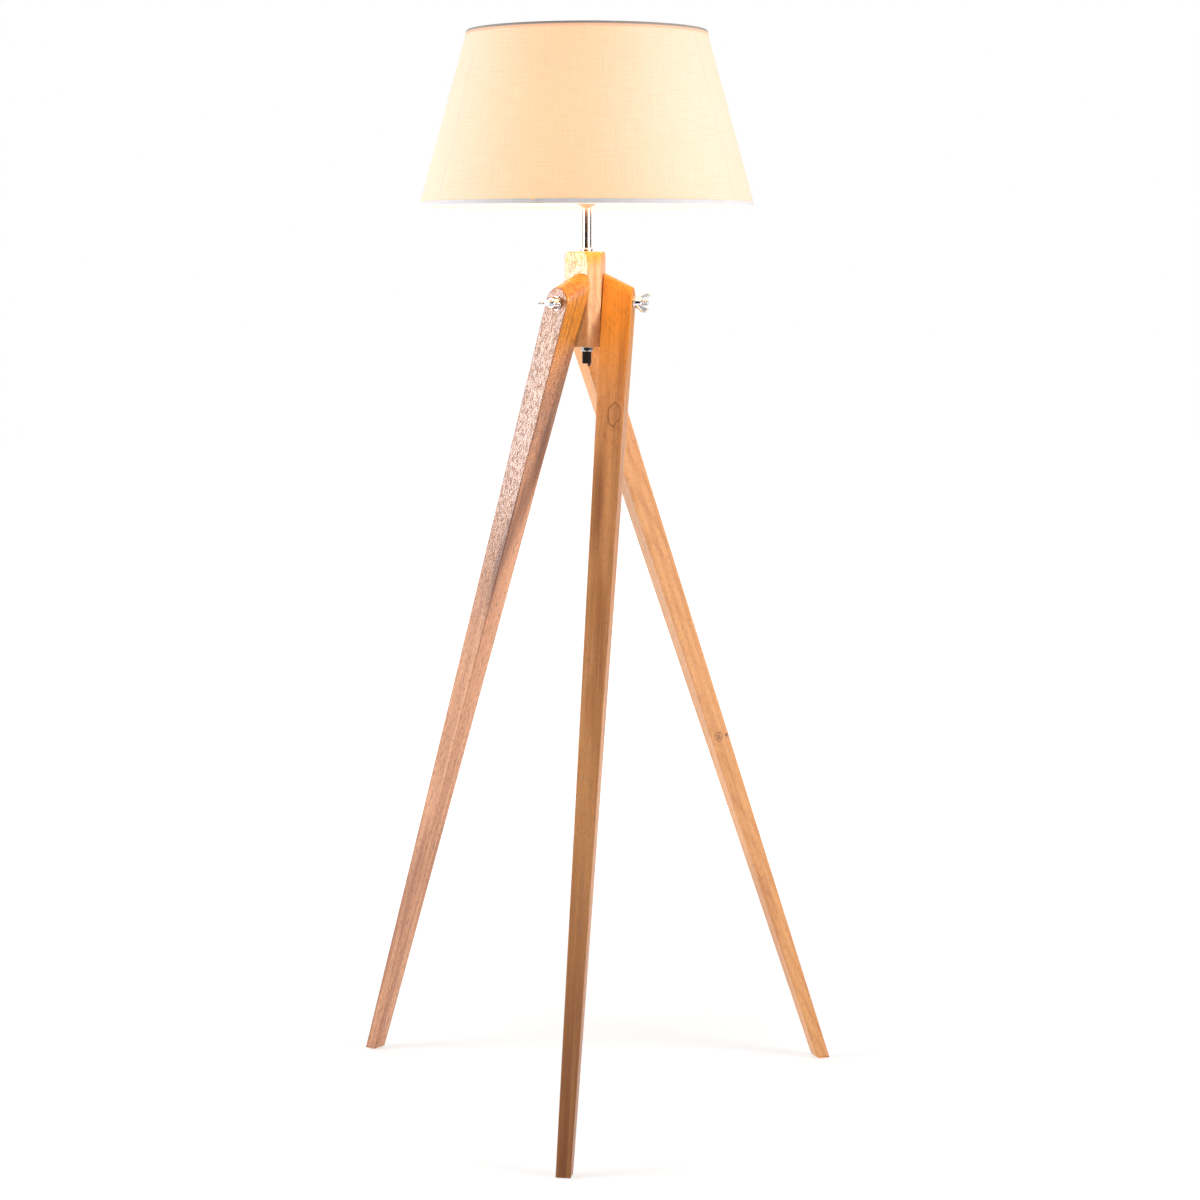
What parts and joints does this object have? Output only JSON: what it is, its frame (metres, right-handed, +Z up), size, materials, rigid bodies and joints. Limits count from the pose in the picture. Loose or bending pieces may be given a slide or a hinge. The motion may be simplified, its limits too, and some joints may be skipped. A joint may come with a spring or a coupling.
{
  "type": "tripod floor lamp",
  "caption": "Floor lamp on three tapered wooden legs bolted with wing nuts to a wooden hub, with a chrome stem, a screw lampholder and a tapered fabric shade.",
  "frame": {"origin": "the point of the floor under the lamp's axis, in the plane of the three feet", "axes": "+Z up along the hub, stem and shade; -Y towards the viewer, so that the front leg's foot points to -Y and its bolt 9.4 degrees to the front of +X"},
  "size_m": [0.6743, 0.6106, 1.4435],
  "materials": {
    "hub_wood": "satin varnish, straight fine grain",
    "leg_left_wood": "satin varnish, fine straight grain with open pores",
    "leg_front_wood": "satin varnish, cathedral grain with a knot",
    "leg_back_wood": "satin varnish, straight grain with a small knot",
    "zinc_steel": "zinc plated",
    "chrome": "polished chrome plate",
    "black_fibre": "matt fibre",
    "black_plastic": "moulded, fine satin",
    "holder_plastic": "moulded, semi-gloss",
    "holder_ceramic": "unglazed steatite",
    "brass": "stamped",
    "frame_white": "white epoxy coat",
    "shade_linen": "linen weave on a translucent backing, lit from inside",
    "binding_tape": "woven edging tape",
    "bulb_metal": "rolled",
    "black_glass": "fused black glass",
    "bulb_glass": "frosted, lit",
    "clear_glass": "clear",
    "tungsten": "coiled wire"
  },
  "bodies": {
    "stand": {"hub": "hub_wood", "hanger_bolt_left": "zinc_steel", "hanger_bolt_front": "zinc_steel", "hanger_bolt_back": "zinc_steel", "spacer_discs": "black_fibre", "threaded_tube": "zinc_steel", "stem_collar": "chrome", "stem_tube": "chrome", "bottom_nut": "chrome", "cord_grip": "black_plastic", "grip_wedge": "black_plastic", "holder_cap": "holder_plastic", "holder_locknut": "brass", "holder_insert": "holder_ceramic", "holder_terminals": "brass", "terminal_screws": "zinc_steel", "centre_contact": "brass", "screw_shell": "brass", "holder_skirt": "holder_plastic", "support_ring": "holder_plastic"},
    "shade_ring": {"shade_ring": "holder_plastic"},
    "shade": {"fitter_ring": "frame_white", "spider_arms": "frame_white", "shade_struts": "frame_white", "shade_top_wire": "frame_white", "shade_bottom_wire": "frame_white", "shade_cover": "shade_linen", "shade_top_binding": "binding_tape", "shade_bottom_binding": "binding_tape"},
    "bulb": {"bulb_cap": "bulb_metal", "bulb_insulator": "black_glass", "bulb_contact": "bulb_metal", "bulb_glass": "bulb_glass", "bulb_stem": "clear_glass", "bulb_filament": "tungsten"},
    "leg_front": {"leg_front": "leg_front_wood"},
    "washer_front": {"washer_front": "chrome"},
    "wing_nut_front": {"wing_nut_front": "chrome"},
    "leg_left": {"leg_left": "leg_left_wood"},
    "washer_left": {"washer_left": "chrome"},
    "wing_nut_left": {"wing_nut_left": "chrome"},
    "leg_back": {"leg_back": "leg_back_wood"},
    "washer_back": {"washer_back": "chrome"},
    "wing_nut_back": {"wing_nut_back": "chrome"}
  },
  "joints": [
    {"name": "leg_front_hinge", "type": "hinge", "parent": "stand", "child": "leg_front", "pos_m": [0.04282, -0.00709, 1.085], "axis": [0.9866, -0.1633, 0], "range_deg": [-6, 19]},
    {"name": "washer_front_slide", "type": "slide", "parent": "stand", "child": "washer_front", "axis": [0.9866, -0.1633, 0], "range_m": [0, 0.0016]},
    {"name": "wing_nut_front_turn", "type": "hinge", "parent": "washer_front", "child": "wing_nut_front", "pos_m": [0.07419, -0.01228, 1.085], "axis": [0.9866, -0.1633, 0], "range_deg": [0, 450]},
    {"name": "leg_left_hinge", "type": "hinge", "parent": "stand", "child": "leg_left", "pos_m": [-0.02755, -0.03354, 1.085], "axis": [-0.6347, -0.7727, 0], "range_deg": [-6, 19]},
    {"name": "washer_left_slide", "type": "slide", "parent": "stand", "child": "washer_left", "axis": [-0.6347, -0.7727, 0], "range_m": [0, 0.0016]},
    {"name": "wing_nut_left_turn", "type": "hinge", "parent": "washer_left", "child": "wing_nut_left", "pos_m": [-0.04773, -0.05811, 1.085], "axis": [-0.6347, -0.7727, 0], "range_deg": [0, 450]},
    {"name": "leg_back_hinge", "type": "hinge", "parent": "stand", "child": "leg_back", "pos_m": [-0.01527, 0.04063, 1.085], "axis": [-0.3518, 0.9361, 0], "range_deg": [-6, 19]},
    {"name": "washer_back_slide", "type": "slide", "parent": "stand", "child": "washer_back", "axis": [-0.3518, 0.9361, 0], "range_m": [0, 0.0016]},
    {"name": "wing_nut_back_turn", "type": "hinge", "parent": "washer_back", "child": "wing_nut_back", "pos_m": [-0.02646, 0.07039, 1.085], "axis": [-0.3518, 0.9361, 0], "range_deg": [0, 450]},
    {"name": "shade_ring_lift", "type": "slide", "parent": "stand", "child": "shade_ring", "axis": [0, 0, 1], "range_m": [0, 0.01]},
    {"name": "shade_turn", "type": "hinge", "parent": "shade_ring", "child": "shade", "pos_m": [0, 0, 1.2491], "axis": [0, 0, 1], "continuous": true},
    {"name": "bulb_draw", "type": "slide", "parent": "stand", "child": "bulb", "axis": [0, 0, 1], "range_m": [0, 0.028]}
  ],
  "couplings": [
    {"joint": "washer_front_slide", "follows": "wing_nut_front_turn", "m_per_rad": 0.00019894},
    {"joint": "washer_left_slide", "follows": "wing_nut_left_turn", "m_per_rad": 0.00019894},
    {"joint": "washer_back_slide", "follows": "wing_nut_back_turn", "m_per_rad": 0.00019894}
  ]
}
